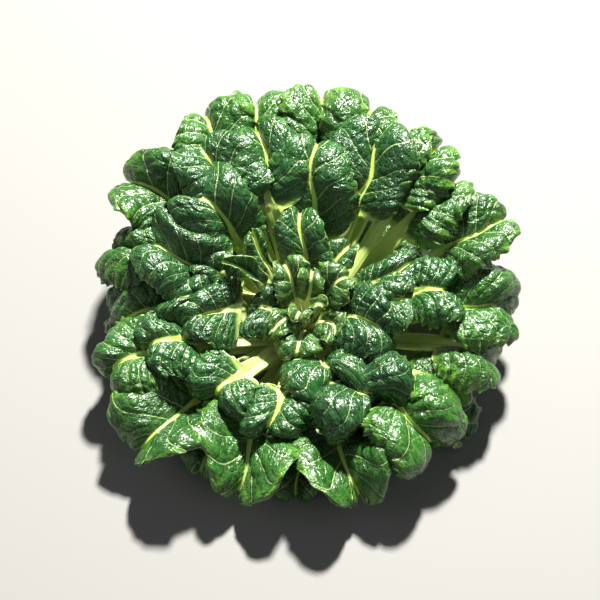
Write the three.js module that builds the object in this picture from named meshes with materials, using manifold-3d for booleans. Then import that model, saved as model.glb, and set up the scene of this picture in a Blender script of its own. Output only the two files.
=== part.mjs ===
// Tatsoi head: a flat rosette of spoon-shaped leaves on a short crown, cut off level at the root.
// Units are millimetres, +Z is up and the cut face of the crown lies on z = 0.
// Every leaf is one piece: a petiole that widens into a round, rolled blade.
import * as THREE from "three";
import { mergeVertices } from "three/addons/utils/BufferGeometryUtils.js";
import Module from "manifold-3d";

// ---- driving dimensions ----------------------------------------------------------------------
const CROWN_FACE_RADIUS = 15.5;     // radius of the cut face
const CROWN_RADIUS = 18.4;          // widest radius of the crown stump
const CROWN_SHOULDER = 7;           // height at which the stump starts to taper
const CROWN_HEIGHT = 33;            // top of the stump, hidden under the heart
const FOOT_RADIUS = [21, 3];        // distance of the petiole feet from the axis, first and last leaf
const FOOT_HEIGHT = [7, 33];        // height of the petiole feet, first and last leaf
const BLADE_HALF = 0.6;             // half the thickness of a blade away from its midrib
const GAP = 0.35;                   // air left where a leaf is cut back from its neighbours
const CLEARANCE = 0.7;              // air the settling step aims at
const FLOOR_CLEAR = 1.0;            // lowest height of a blade's middle surface
const REACH = 16;                   // how deep a leaf may be found inside another one and still rise
const SETTLE_PASSES = 10;
const STIFFNESS = 0.3;              // how strongly a blade resists being creased as it settles
const MOST_MOVED = 16;              // furthest a point of a leaf may be moved
const LAST_TOUCH = 0.002;           // overlap, mm3, that still calls for a cut
const LAST_TIDY = 0.01;             // how far the skin may be simplified after such a cut
const SPINE_STEPS = 110;            // steps along a midrib
const SLOPE_STEPS = 24;             // steps across a blade from its midrib to its rim
const TURN_STEPS = 32;              // sides of the round crown
const ROOM = 1000;                  // side of a box that holds the whole head
// how far a trimmed skin may be simplified, in order of preference
const TRIM_TOLERANCES = [0.12, 0.1, 0.14, 0.08, 0.06, 0.04, 0.02, 0.17, 0.2, 0.25, 0.3, 0.05, 0.03];
// steps to a millimetre of the two grids on which a skin has to stay closed
const ROUNDINGS = [1000, 10000];
const BEND_WAVE = 70;               // wavelength of the slow uneven bends

// Foot width, stalk width, stalk half thickness and grid size of each ring of leaves.
const RINGS = {
  low: { foot: 12, stalk: 9, half: 1.6, rows: 8, cols: 6, label: "low_leaf" },
  outer: { foot: 13, stalk: 11, half: 1.9, rows: 9, cols: 6, label: "outer_leaf" },
  middle: { foot: 12, stalk: 10, half: 1.8, rows: 9, cols: 6, label: "middle_leaf" },
  inner: { foot: 9, stalk: 7.5, half: 1.5, rows: 9, cols: 6, label: "inner_leaf" },
  heart: { foot: 5.5, stalk: 4.5, half: 1.0, rows: 8, cols: 4, label: "heart_leaf" },
};

// Three ways in which a blade is formed.
const FORMS = {
  // both halves bulge beside a sunk midrib, the round rim is rolled back
  spoon: { up: 0, curl: 4.2, cup: 26, bowl: 0, roll: 85, edge: 3.2, lobe: 1.5, dome: 2, wave: 2, tip: -60 },
  // the whole blade arches down like an umbrella
  dome: { up: 0, curl: 1.5, cup: 22, bowl: 0.2, roll: 85, edge: 1.9, lobe: 2, dome: 3, wave: 1.5, tip: -110 },
  // a wide hollow inside a rolled rim
  bowl: { up: 42, curl: 3, cup: 54, bowl: 0.6, roll: 70, edge: 3, lobe: 3, dome: 1, wave: 2.5, tip: -65 },
};

// ring, form, direction about the axis, petiole, blade length, blade width, rise, lift, exceptions.
// The list runs from the outside of the head to its heart, which is also the order of stacking.
const LEAVES = [
  ["low", "spoon", 95, 64, 48, 50, 10, 4],
  ["low", "spoon", 14, 60, 48, 50, 10, 4],
  ["low", "spoon", 326, 58, 46, 48, 8, 2],
  ["low", "spoon", 268, 46, 44, 48, 8, 2],
  ["low", "spoon", 234, 54, 44, 46, 8, 2],
  ["low", "spoon", 172, 62, 50, 50, 10, 6],
  ["low", "spoon", 126, 44, 56, 56, 12, 9],
  ["low", "spoon", 50, 46, 60, 60, 12, 9],
  ["outer", "spoon", 105, 95, 54, 60, 30, 42, { wave: 3.5, lean: 5, lobe: 4 }],
  ["outer", "spoon", 85, 91, 56, 66, 30, 46, { tip: -40 }],
  ["outer", "spoon", 71, 95, 50, 56, 30, 42],
  ["outer", "spoon", 119, 97, 52, 58, 31, 42, { wave: 3.5 }],
  ["outer", "spoon", 142, 90, 50, 68, 24, 34, { wave: 3.5, lobe: 4, turn: 4 }],
  ["outer", "dome", 162, 84, 48, 56, 22, 34, { tip: -80, cup: 30 }],
  ["outer", "dome", 182, 74, 42, 50, 20, 30, { tip: -90 }],
  ["outer", "dome", 200, 84, 46, 56, 18, 26],
  ["outer", "bowl", 219, 62, 58, 80, 12, 2, { lean: 8 }],
  ["outer", "bowl", 249, 52, 54, 72, 12, 0, { lobe: 5 }],
  ["outer", "bowl", 285, 52, 56, 73, 12, 0, { lobe: 5 }],
  ["outer", "dome", 311, 70, 46, 72, 18, 24, { lobe: 8, cup: 40 }],
  ["outer", "spoon", 327, 60, 42, 44, 14, 20],
  ["outer", "dome", 344, 76, 44, 56, 18, 22, { tip: -90, cup: 34, lean: -12, stalk: 15, foot: 16 }],
  ["outer", "dome", 359, 82, 46, 66, 20, 30, { tip: -90, cup: 42, lobe: 6 }],
  ["outer", "spoon", 22, 87, 48, 62, 24, 32, { edge: 2.6 }],
  ["outer", "spoon", 38, 80, 50, 62, 28, 40, { edge: 2.6, stalk: 13, foot: 15 }],
  ["outer", "spoon", 47, 94, 46, 56, 29, 40],
  ["outer", "spoon", 57, 88, 46, 54, 31, 42],
  ["middle", "spoon", 62, 72, 60, 72, 32, 46, { tip: -40, turn: 5, edge: 2.8, stalk: 12, foot: 14 }],
  ["middle", "spoon", 86, 52, 66, 60, 38, 56, { tip: -50, cup: 14, roll: 80, edge: 3.5, lobe: 0, wave: 1, curl: 5 }],
  ["middle", "spoon", 107, 74, 50, 54, 34, 50, { edge: 2.8, tip: -50, stalk: 12, foot: 13 }],
  ["middle", "spoon", 126, 78, 50, 62, 30, 42, { wave: 3.5, tip: -40, stalk: 13, foot: 14 }],
  ["middle", "spoon", 134, 62, 50, 60, 28, 46, { edge: 2.6, lean: -10, tip: -80, curl: 3 }],
  ["middle", "spoon", 159, 64, 50, 66, 24, 36, { edge: 2.6, tip: -80, curl: 3 }],
  ["middle", "dome", 178, 56, 36, 42, 24, 36, { tip: -90 }],
  ["middle", "dome", 198, 66, 42, 52, 20, 26, { stalk: 15, foot: 15 }],
  ["middle", "dome", 229, 52, 38, 50, 20, 24],
  ["middle", "dome", 256, 53, 38, 50, 21, 26, { tip: -120 }],
  ["middle", "dome", 299, 50, 36, 80, 20, 26, { lobe: 7, dome: 4, cup: 38 }],
  ["middle", "dome", 4, 64, 42, 54, 24, 32, { tip: -90, cup: 35 }],
  ["inner", "spoon", 131, 38, 26, 20, 42, 54, { tip: 10 }],
  ["inner", "spoon", 156, 48, 32, 40, 26, 28],
  ["inner", "dome", 186, 40, 42, 58, 28, 36, { tip: -90, lean: -16, lobe: 5 }],
  ["inner", "dome", 289, 30, 32, 74, 26, 28, { lobe: 7, dome: 4, cup: 38 }],
  ["inner", "dome", 1, 44, 38, 48, 32, 40, { tip: -80 }],
  ["inner", "dome", 18, 36, 42, 34, 36, 40, { tip: -60, cup: 30 }],
  ["inner", "spoon", 54, 36, 22, 24, 48, 54, { wave: 3 }],
  ["inner", "spoon", 92, 28, 44, 38, 46, 62, { tip: -40, curl: 5, bowl: 0.5, cup: 36 }],
  ["inner", "spoon", 158, 36, 32, 20, 46, 52, { tip: 10, cup: 60, roll: -40, lobe: 0, dome: 0 }],
  ["inner", "dome", 342, 24, 42, 56, 40, 54, { tip: -80 }],
  ["inner", "dome", 190, 20, 32, 40, 46, 54, { tip: -80 }],
  ["heart", "dome", 262, 13, 28, 34, 50, 52, { tip: -70, wave: 3 }],
  ["heart", "dome", 320, 13, 27, 30, 54, 58, { tip: -50, wave: 3 }],
  ["heart", "dome", 222, 13, 23, 25, 58, 66, { tip: -50, wave: 3 }],
  ["heart", "spoon", 25, 18, 30, 32, 54, 66, { wave: 3 }],
  ["heart", "spoon", 125, 18, 28, 30, 58, 70, { wave: 3 }],
  ["heart", "spoon", 75, 16, 24, 20, 68, 78, { wave: 3 }],
  ["heart", "spoon", 245, 14, 20, 17, 72, 80, { wave: 3 }],
  ["heart", "spoon", 345, 13, 18, 15, 78, 84, { wave: 3 }],
];

const SHADES = {
  low: 0x24562a, outer: 0x2f7a33, middle: 0x2a6e30, inner: 0x33803a, heart: 0x4c8f3c, crown: 0xcfd8a0,
};

// ---- small helpers -----------------------------------------------------------------------------
const wasm = await Module();
wasm.setup();
const { Manifold, Mesh } = wasm;
const radians = THREE.MathUtils.degToRad;
const clamp = THREE.MathUtils.clamp;
const blend = THREE.MathUtils.lerp;

function ease(x) {
  const t = clamp(x, 0, 1);
  return t * t * (3 - 2 * t);
}

function describeLeaves() {
  const counts = {};
  return LEAVES.map(([ring, form, az, petiole, blade, width, rise, lift, extra], index) => {
    const q = index / (LEAVES.length - 1);
    counts[ring] = (counts[ring] ?? 0) + 1;
    const leaf = {
      lean: 0, turn: 0, uneven: 2.5, waves: 2, ...FORMS[form], ...RINGS[ring],
      ring, az, petiole, blade, width, rise, lift, ...extra,
      name: `${RINGS[ring].label}_${counts[ring]}`,
      footRadius: blend(...FOOT_RADIUS, q),
      footHeight: blend(...FOOT_HEIGHT, q),
      phase: (0.37 * index) % 1,
    };
    if (ring === "heart") {
      leaf.lobe *= 0.4;
      leaf.dome *= 0.5;
      leaf.uneven *= 0.5;
    }
    return leaf;
  });
}

// ---- the middle surface of one leaf ------------------------------------------------------------
// The spine leaves the crown at the angle `rise`, eases to `lift` along the petiole and turns over
// towards `tip` along the blade.
function spineOf(leaf) {
  const length = leaf.petiole + leaf.blade;
  const step = (length * 1.15) / SPINE_STEPS;
  const az = radians(leaf.az);
  const point = new THREE.Vector3(leaf.footRadius * Math.cos(az), leaf.footRadius * Math.sin(az), leaf.footHeight);
  const spine = { step, points: [], pitch: [], heading: [] };
  let before = null;
  for (let k = 0; k <= SPINE_STEPS; k++) {
    const s = k * step;
    const tb = Math.max((s - leaf.petiole) / leaf.blade, 0);
    const level = leaf.lift + leaf.up * ease(tb / 0.6);
    const turned = (leaf.tip - leaf.lift - leaf.up) * tb ** leaf.curl;
    const pitch = radians(leaf.rise + (level - leaf.rise) * ease(s / leaf.petiole) + turned);
    const heading = radians(leaf.az + leaf.turn * (s / length) ** 1.5);
    const along = direction(pitch, heading);
    if (before) {
      point.addScaledVector(before, step / 2);
      point.addScaledVector(along, step / 2);
    }
    spine.points.push(point.clone());
    spine.pitch.push(pitch);
    spine.heading.push(heading);
    before = along;
  }
  return spine;
}

function direction(pitch, heading) {
  return new THREE.Vector3(
    Math.cos(pitch) * Math.cos(heading),
    Math.cos(pitch) * Math.sin(heading),
    Math.sin(pitch),
  );
}

function spineAt(spine, s) {
  const k = clamp(s / spine.step, 0, SPINE_STEPS - 1e-6);
  const i = Math.floor(k);
  const f = k - i;
  return {
    point: spine.points[i].clone().lerp(spine.points[i + 1], f),
    pitch: blend(spine.pitch[i], spine.pitch[i + 1], f),
    heading: blend(spine.heading[i], spine.heading[i + 1], f),
  };
}

// Half the width: a petiole that narrows from its foot, then a blade with a blunt round tip.
function halfWidth(leaf, s) {
  const tb = clamp((s - leaf.petiole) / leaf.blade, 0, 1);
  const stalk = blend(leaf.foot, leaf.stalk, ease(s / leaf.petiole / 0.7)) / 2;
  const place = tb ** 0.9;
  const power = place > 0.5 ? 2.5 : 2;
  const oval = (leaf.width / 2) * Math.max(1 - Math.abs(2 * place - 1) ** power, 0) ** (1 / power);
  const fade = 1 - ease((tb - 0.55) / 0.45);
  return ((stalk * fade) ** 3 + oval ** 3) ** (1 / 3);
}

function rowPositions(leaf, rows) {
  const length = leaf.petiole + leaf.blade;
  return Array.from({ length: rows + 1 }, (_, i) => {
    const u = i / rows;
    const q = u + 0.1 * Math.sin(Math.PI * u) * u;
    return Math.min(1 - (1 - q) ** 1.12, 0.9985) * length;
  });
}

// Slope of the cross-section, averaged from the midrib to the vertex: out and up.
function crossOffset(cup, roll, leaf, share, blade, reach) {
  let out = 0;
  let up = 0;
  for (let k = 0; k < SLOPE_STEPS; k++) {
    const a = ((k + 0.5) / SLOPE_STEPS) * share * reach;
    const flat = 1 - leaf.bowl * (1 - ease(a / 0.55)) * blade;
    const slope = cup * flat - (cup + roll) * a ** leaf.edge;
    out += Math.cos(slope) / SLOPE_STEPS;
    up += Math.sin(slope) / SLOPE_STEPS;
  }
  return [out, up];
}

function surfacePoint(leaf, spine, s, v) {
  const tb = clamp((s - leaf.petiole) / leaf.blade, 0, 1);
  const blade = ease((s - leaf.petiole * 0.8) / (leaf.blade * 0.35 + leaf.petiole * 0.2));
  const half = halfWidth(leaf, s);
  const share = Math.abs(v);
  const side = Math.sign(v);
  const cup = radians(blend(22, leaf.cup, blade));
  const roll = radians(blend(-24, leaf.roll, blade));
  const reach = 1 + (clamp(half / (leaf.width / 2), 0, 1) ** 0.8 - 1) * blade;
  const [out, up] = crossOffset(cup, roll, leaf, share, blade, reach);
  const ripple = Math.sin(2 * Math.PI * (leaf.waves * tb + 0.3 * side + leaf.phase));
  const bulge = Math.sin(Math.PI * share ** 0.8) * ease(tb * 1.6) * (1 + 0.35 * side * Math.sin(9 * leaf.phase));
  const lift = up * share * half + blade * (leaf.wave * ripple * share ** 2.5 + leaf.dome * bulge);
  const lobe = leaf.lobe * Math.sin(Math.PI * share ** 0.9) * ease((tb - 0.3) / 0.7);
  const at = spineAt(spine, s + lobe - 0.1 * half * share ** 3 * blade);
  const along = direction(at.pitch, at.heading);
  const across = new THREE.Vector3(-Math.sin(at.heading), Math.cos(at.heading), 0);
  const above = along.clone().cross(across);
  const lean = radians(leaf.lean) * ease(s / (leaf.petiole + 0.3 * leaf.blade));
  const sideways = across.clone().multiplyScalar(Math.cos(lean)).addScaledVector(above, Math.sin(lean));
  const upwards = above.clone().multiplyScalar(Math.cos(lean)).addScaledVector(across, -Math.sin(lean));
  const point = at.point.clone();
  point.addScaledVector(sideways, out * share * half * side);
  point.addScaledVector(upwards, lift);
  return point.add(unevenBend(leaf, point, blade * ease(tb * 1.3 + 0.2)));
}

// Slow bends in space, so that no two blades are alike.
function unevenBend(leaf, { x, y, z }, amount) {
  const k = (2 * Math.PI) / BEND_WAVE;
  const shift = leaf.phase * 6.28;
  return new THREE.Vector3(
    Math.sin(k * (y + z) + shift),
    Math.sin(k * (z - x) + 2 * shift),
    Math.sin(k * (x + y) + 3 * shift),
  ).multiplyScalar(leaf.uneven * amount);
}

// Half the thickness: a thick petiole that thins into the midrib, then an even blade.
function halfThickness(leaf, s, v, rowShare) {
  const tb = clamp((s - leaf.petiole) / leaf.blade, 0, 1);
  const across = Math.max(1 - Math.abs(v) ** 2, 0);
  const stalk = leaf.half * (1 - ease(tb * 1.4));
  const rib = blend(across, across ** 3, ease(tb * 2));
  const rim = Math.abs(v) > 0.999 || rowShare > 0.999 ? 0 : 1;
  return rim * (BLADE_HALF + Math.max(stalk - BLADE_HALF * 0.5, 0) * rib);
}

function makeGrid(leaf) {
  const spine = spineOf(leaf);
  const rows = rowPositions(leaf, leaf.rows);
  leaf.points = [];
  leaf.halves = [];
  for (let i = 0; i <= leaf.rows; i++) {
    for (let j = 0; j <= leaf.cols; j++) {
      const v = (2 * j) / leaf.cols - 1;
      leaf.points.push(surfacePoint(leaf, spine, rows[i], v));
      leaf.halves.push(halfThickness(leaf, rows[i], v, i / leaf.rows));
    }
  }
  return leaf;
}

// ---- settling the leaves on one another --------------------------------------------------------
function gridFaces(leaf) {
  const faces = [];
  const wide = leaf.cols + 1;
  for (let i = 0; i < leaf.rows; i++) {
    for (let j = 0; j < leaf.cols; j++) {
      const a = i * wide + j;
      faces.push([a, a + wide, a + wide + 1], [a, a + wide + 1, a + 1]);
    }
  }
  return faces;
}

function freezeLeaf(leaf) {
  const box = new THREE.Box3().setFromPoints(leaf.points).expandByScalar(3);
  const tiles = gridFaces(leaf).map((face) => {
    const triangle = new THREE.Triangle(...face.map((k) => leaf.points[k].clone()));
    const centre = triangle.getMidpoint(new THREE.Vector3());
    const radius = Math.max(...[triangle.a, triangle.b, triangle.c].map((p) => p.distanceTo(centre)));
    const half = Math.max(...face.map((k) => leaf.halves[k]));
    return { triangle, centre, radius, half, normal: triangle.getNormal(new THREE.Vector3()) };
  });
  return { box, tiles };
}

function nearestTile(tiles, point) {
  let best = null;
  let reach = REACH;
  const probe = new THREE.Vector3();
  for (const tile of tiles) {
    if (tile.centre.distanceTo(point) - tile.radius < reach) {
      tile.triangle.closestPointToPoint(point, probe);
      const distance = probe.distanceTo(point);
      if (distance < reach) {
        reach = distance;
        best = { tile, distance, height: point.clone().sub(probe).dot(tile.normal) };
      }
    }
  }
  return best;
}

// How far a point has to move to lie above every frozen leaf.
function pushFor(point, half, frozen) {
  const push = new THREE.Vector3();
  for (const { box, tiles } of frozen) {
    if (box.containsPoint(point)) {
      const hit = nearestTile(tiles, point);
      const wanted = hit ? half + hit.tile.half + CLEARANCE : 0;
      const facing = hit && Math.abs(hit.height) > 0.8 * hit.distance - 0.3;
      if (facing && hit.height < wanted && wanted - hit.height > push.length()) {
        push.copy(hit.tile.normal).multiplyScalar(wanted - hit.height);
      }
    }
  }
  return push;
}

// Average of a vertex and its four neighbours in a field over the grid.
function neighbourMean(leaf, field, k) {
  const wide = leaf.cols + 1;
  const i = Math.floor(k / wide);
  const j = k % wide;
  const sum = field[k].clone();
  sum.add(field[Math.max(i - 1, 0) * wide + j]);
  sum.add(field[Math.min(i + 1, leaf.rows) * wide + j]);
  sum.add(field[i * wide + Math.max(j - 1, 0)]);
  sum.add(field[i * wide + Math.min(j + 1, leaf.cols)]);
  return sum.divideScalar(5);
}

// Spreads the pushes over the blade without weakening any of them by much.
function spreadPushes(leaf, pushes) {
  let field = pushes;
  for (let pass = 0; pass < 4; pass++) {
    field = field.map((own, k) => {
      const mean = neighbourMean(leaf, field, k);
      return mean.length() < pushes[k].length() * 0.9 ? pushes[k].clone().multiplyScalar(0.9) : mean;
    });
  }
  return field;
}

function settleLeaf(leaf, placed) {
  const around = new THREE.Box3().setFromPoints(leaf.points).expandByScalar(20);
  const near = placed.filter((other) => other.box.intersectsBox(around));
  const rest = leaf.points;
  let moved = rest.map(() => new THREE.Vector3());
  for (let pass = 0; pass < SETTLE_PASSES; pass++) {
    leaf.points = rest.map((point, k) => point.clone().add(moved[k]));
    const pushes = leaf.points.map((point, k) => {
      const push = k > leaf.cols ? pushFor(point, leaf.halves[k], near) : new THREE.Vector3();
      push.z += Math.max(FLOOR_CLEAR - point.z - push.z, 0);
      return push;
    });
    const calm = moved.map((own, k) => own.clone().lerp(neighbourMean(leaf, moved, k), STIFFNESS));
    const spread = spreadPushes(leaf, pushes);
    moved = calm.map((own, k) => (k > leaf.cols ? own.add(spread[k]).clampLength(0, MOST_MOVED) : own.set(0, 0, 0)));
  }
  leaf.points = rest.map((point, k) => point.clone().add(moved[k]));
  placed.push(freezeLeaf(leaf));
}

// ---- solids ------------------------------------------------------------------------------------
function vertexNormals(leaf) {
  const normals = leaf.points.map(() => new THREE.Vector3());
  for (const face of gridFaces(leaf)) {
    const [a, b, c] = face.map((k) => leaf.points[k]);
    const normal = b.clone().sub(a).cross(c.clone().sub(a));
    face.forEach((k) => normals[k].add(normal));
  }
  return normals.map((n) => n.normalize());
}

// Upper and lower skins share the rim; `spare` thickens the body to keep the neighbours away.
function leafSolid(leaf, spare = 0) {
  const wide = leaf.cols + 1;
  const normals = vertexNormals(leaf);
  const vertices = [];
  const upper = [];
  const lower = [];
  leaf.points.forEach((point, k) => {
    const half = leaf.halves[k] + spare;
    const shifted = spare > 0 ? rimShift(leaf, k, spare) : point;
    upper.push(vertices.push(shifted.clone().addScaledVector(normals[k], half)) - 1);
    lower.push(half > 0 ? vertices.push(shifted.clone().addScaledVector(normals[k], -half)) - 1 : upper[k]);
  });
  const faces = gridFaces(leaf).flatMap(([a, b, c]) => [
    [upper[a], upper[b], upper[c]],
    [lower[a], lower[c], lower[b]],
  ]);
  const rim = rimLoop(leaf, wide);
  rim.forEach((k, n) => {
    const next = rim[(n + 1) % rim.length];
    faces.push([upper[k], upper[next], lower[next]], [upper[k], lower[next], lower[k]]);
  });
  const sound = faces.filter(([a, b, c]) => a !== b && b !== c && c !== a);
  return toManifold(vertices, sound);
}

// Vertex numbers around the edge of the grid, with the upper skin on the left hand.
function rimLoop(leaf, wide) {
  const loop = [];
  for (let j = 0; j < leaf.cols; j++) loop.push(j);
  for (let i = 0; i < leaf.rows; i++) loop.push(i * wide + leaf.cols);
  for (let j = leaf.cols; j > 0; j--) loop.push(leaf.rows * wide + j);
  for (let i = leaf.rows; i > 0; i--) loop.push(i * wide);
  return loop;
}

function rimShift(leaf, k, spare) {
  const wide = leaf.cols + 1;
  const j = k % wide;
  const last = leaf.rows * wide;
  const point = leaf.points[k].clone();
  if (j === 0) point.add(away(leaf.points[k], leaf.points[k + 1], spare));
  if (j === leaf.cols) point.add(away(leaf.points[k], leaf.points[k - 1], spare));
  if (k >= last) point.add(away(leaf.points[k], leaf.points[k - wide], spare));
  return point;
}

function away(point, inner, amount) {
  return point.clone().sub(inner).setLength(amount);
}

function toManifold(vertices, faces) {
  const mesh = new Mesh({
    numProp: 3,
    vertProperties: new Float32Array(vertices.flatMap((p) => p.toArray())),
    triVerts: new Uint32Array(faces.flat()),
  });
  mesh.merge();
  return new Manifold(mesh);
}

function crownSolid(spare = 0) {
  const profile = [
    [0, 0],
    [CROWN_FACE_RADIUS + spare, 0],
    [CROWN_RADIUS + spare, 2.5],
    [CROWN_RADIUS + spare, CROWN_SHOULDER],
    [1.2 + spare, CROWN_HEIGHT - 1],
    [0, CROWN_HEIGHT + spare],
  ];
  const turned = new THREE.LatheGeometry(profile.map(([r, z]) => new THREE.Vector2(r, z)), TURN_STEPS);
  return solidFrom(turned.rotateX(Math.PI / 2), 1e-4);
}

function largestBody(solid) {
  const bodies = solid.decompose();
  return bodies.reduce((best, body) => (body.volume() > best.volume() ? body : best), bodies[0]);
}

// A closed geometry as a solid that can be joined and cut; vertices closer than `weld` become one.
function solidFrom(geometry, weld) {
  const bare = geometry.clone();
  bare.deleteAttribute("normal");
  bare.deleteAttribute("uv");
  const merged = mergeVertices(bare, weld);
  const mesh = new Mesh({
    numProp: 3,
    vertProperties: new Float32Array(merged.getAttribute("position").array),
    triVerts: new Uint32Array(merged.index.array),
  });
  mesh.merge();
  return new Manifold(mesh);
}

// The skin of a solid as a geometry.
function geometryOf(solid) {
  const { vertProperties, triVerts } = solid.getMesh();
  const geometry = new THREE.BufferGeometry();
  geometry.setAttribute("position", new THREE.BufferAttribute(new Float32Array(vertProperties), 3));
  geometry.setIndex(new THREE.BufferAttribute(new Uint32Array(triVerts), 1));
  return geometry;
}

// Whether the solid stays one closed body when vertices closer than a thousandth of a millimetre
// are made one.
function staysWhole(solid) {
  try {
    const whole = solidFrom(geometryOf(solid).toNonIndexed(), 1e-3);
    return whole.decompose().length === 1 && ROUNDINGS.every((steps) => isSound(whole, steps));
  } catch {
    return false;
  }
}

// True when every edge still joins two faces, and all faces hang together, once the vertices are
// rounded to so many steps a millimetre.
function isSound(solid, steps) {
  const { vertProperties: xyz, triVerts } = solid.getMesh();
  const numbers = new Map();
  const vertexOf = (k) => {
    const key = [0, 1, 2].map((n) => Math.round(xyz[3 * k + n] * steps)).join();
    if (!numbers.has(key)) numbers.set(key, numbers.size);
    return numbers.get(key);
  };
  const faces = [];
  const edges = new Map();
  for (let t = 0; t < triVerts.length; t += 3) {
    const [a, b, c] = [0, 1, 2].map((n) => vertexOf(triVerts[t + n]));
    if (a !== b && b !== c && c !== a) {
      const keys = [[a, b], [b, c], [c, a]].map(([p, q]) => (p < q ? `${p},${q}` : `${q},${p}`));
      for (const key of keys) edges.set(key, [...(edges.get(key) ?? []), faces.length]);
      faces.push(keys);
    }
  }
  return [...edges.values()].every((sides) => sides.length === 2) && hangTogether(faces, edges);
}

// Whether all faces can be reached from the first one over shared edges.
function hangTogether(faces, edges) {
  const reached = new Set([0]);
  const waiting = [0];
  while (waiting.length > 0) {
    for (const next of faces[waiting.pop()].flatMap((key) => edges.get(key))) {
      if (!reached.has(next)) {
        reached.add(next);
        waiting.push(next);
      }
    }
  }
  return reached.size === faces.length;
}

// Cutting with a box that holds the whole leaf settles any folds that run through themselves.
function soundBody(solid) {
  const room = solidFrom(new THREE.BoxGeometry(ROOM, ROOM, ROOM), 1e-4);
  return largestBody(solid.intersect(room));
}

function boxesMeet(a, b) {
  return [0, 1, 2].every((k) => a.min[k] <= b.max[k] && b.min[k] <= a.max[k]);
}

// Each leaf gives way to the pieces beneath it wherever they would still touch.
function trimLeaf(solid, fences) {
  let body = soundBody(solid);
  for (const fence of fences) {
    if (boxesMeet(body.boundingBox(), fence.box)) {
      const common = body.intersect(fence.solid);
      if (common.volume() > 1e-7) {
        body = largestBody(body.subtract(fence.solid));
      }
    }
  }
  return tidyBody(body, fences);
}

// Drops the crumbs and short edges that a trim leaves behind, by the first tolerance that leaves
// one sound skin.
function tidyBody(solid, fences) {
  for (const tolerance of TRIM_TOLERANCES) {
    const body = clearLastTouches(largestBody(solid.simplify(tolerance)), fences);
    if (staysWhole(body)) return body;
  }
  return clearLastTouches(solid, fences);
}

// Simplifying can bring two skins together again at a crease: cut once more, sparingly.
function clearLastTouches(solid, fences) {
  let body = solid;
  for (const fence of fences) {
    if (boxesMeet(body.boundingBox(), fence.box) && body.intersect(fence.core).volume() > LAST_TOUCH) {
      body = largestBody(body.subtract(fence.core).simplify(LAST_TIDY));
    }
  }
  return body;
}

function toMesh(name, solid, shade) {
  const geometry = geometryOf(solid);
  geometry.computeVertexNormals();
  const material = new THREE.MeshStandardMaterial({ color: shade, roughness: 0.4, metalness: 0 });
  const mesh = new THREE.Mesh(geometry, material);
  mesh.name = name;
  return mesh;
}

function buildHead() {
  const group = new THREE.Group();
  group.name = "tatsoi";
  const crown = crownSolid();
  group.add(toMesh("crown_stump", crown, SHADES.crown));
  const fence = crownSolid(GAP);
  const fences = [{ solid: fence, core: crown, box: fence.boundingBox() }];
  const placed = [];
  for (const leaf of describeLeaves()) {
    makeGrid(leaf);
    settleLeaf(leaf, placed);
    const body = trimLeaf(leafSolid(leaf), fences);
    const guard = leafSolid(leaf, GAP);
    fences.push({ solid: guard, core: body, box: guard.boundingBox() });
    group.add(toMesh(leaf.name, body, SHADES[leaf.ring]));
  }
  return group;
}

export default buildHead();
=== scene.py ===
"""Looks of a tatsoi head: puckered, glossy spoon leaves on pale petioles round a cut crown."""

import math

import bpy
import numpy as np
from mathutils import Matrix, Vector

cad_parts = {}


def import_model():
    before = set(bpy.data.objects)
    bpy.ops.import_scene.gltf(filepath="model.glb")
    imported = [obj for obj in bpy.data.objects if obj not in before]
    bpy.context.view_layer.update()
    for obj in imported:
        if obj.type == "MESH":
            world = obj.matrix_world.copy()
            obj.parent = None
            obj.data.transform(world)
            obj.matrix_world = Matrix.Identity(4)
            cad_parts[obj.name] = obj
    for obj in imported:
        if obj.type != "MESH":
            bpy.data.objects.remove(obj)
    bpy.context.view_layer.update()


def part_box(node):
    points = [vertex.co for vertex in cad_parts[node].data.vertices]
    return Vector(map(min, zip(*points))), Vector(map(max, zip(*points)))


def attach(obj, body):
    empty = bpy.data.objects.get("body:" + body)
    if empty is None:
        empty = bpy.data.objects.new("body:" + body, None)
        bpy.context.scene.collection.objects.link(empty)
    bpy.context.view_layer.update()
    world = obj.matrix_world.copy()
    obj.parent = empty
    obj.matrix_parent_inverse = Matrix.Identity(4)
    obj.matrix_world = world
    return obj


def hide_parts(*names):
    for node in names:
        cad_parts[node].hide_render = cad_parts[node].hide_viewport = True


# ---- the leaves, in millimetres and degrees ------------------------------------------------------
# Foot width, stalk width, stalk half thickness, settling grid and shown grid of each ring.
RINGS = {
    "low": dict(foot=12, stalk=9, half=1.6, rows=8, cols=6, fine=(60, 32), slot="outer_leaf"),
    "outer": dict(foot=13, stalk=11, half=1.9, rows=9, cols=6, fine=(96, 52), slot="outer_leaf"),
    "middle": dict(foot=12, stalk=10, half=1.8, rows=9, cols=6, fine=(96, 52), slot="inner_leaf"),
    "inner": dict(foot=9, stalk=7.5, half=1.5, rows=9, cols=6, fine=(84, 48), slot="inner_leaf"),
    "heart": dict(foot=5.5, stalk=4.5, half=1.0, rows=8, cols=4, fine=(70, 40), slot="heart_leaf"),
}

# Three ways in which a blade is formed.
FORMS = {
    "spoon": dict(up=0, curl=4.2, cup=26, bowl=0, roll=85, edge=3.2, lobe=1.5, dome=2, wave=2, tip=-60),
    "dome": dict(up=0, curl=1.5, cup=22, bowl=0.2, roll=85, edge=1.9, lobe=2, dome=3, wave=1.5, tip=-110),
    "bowl": dict(up=42, curl=3, cup=54, bowl=0.6, roll=70, edge=3, lobe=3, dome=1, wave=2.5, tip=-65),
}

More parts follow.
